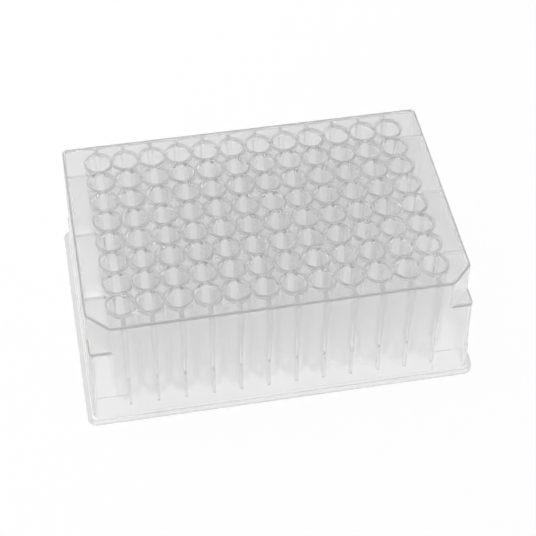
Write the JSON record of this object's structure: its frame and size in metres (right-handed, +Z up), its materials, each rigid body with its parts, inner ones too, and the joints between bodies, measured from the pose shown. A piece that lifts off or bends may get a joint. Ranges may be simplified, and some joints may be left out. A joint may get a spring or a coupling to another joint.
{
  "type": "deep-well plate",
  "caption": "Translucent moulded deep-well plate: a grid of round wells with round bottoms, raised rims, two cut front corners and a base flange.",
  "frame": {"origin": "middle of the footprint, on the surface the plate stands on", "axes": "+X along the long side, towards the last column; +Y across it, towards the first row and away from the two cut corners; +Z up, out of the wells"},
  "size_m": [0.1278, 0.0854, 0.045],
  "materials": {
    "polypropylene": "satin, natural translucent polypropylene"
  },
  "bodies": {
    "root": {"well_plate": "polypropylene"}
  },
  "joints": []
}
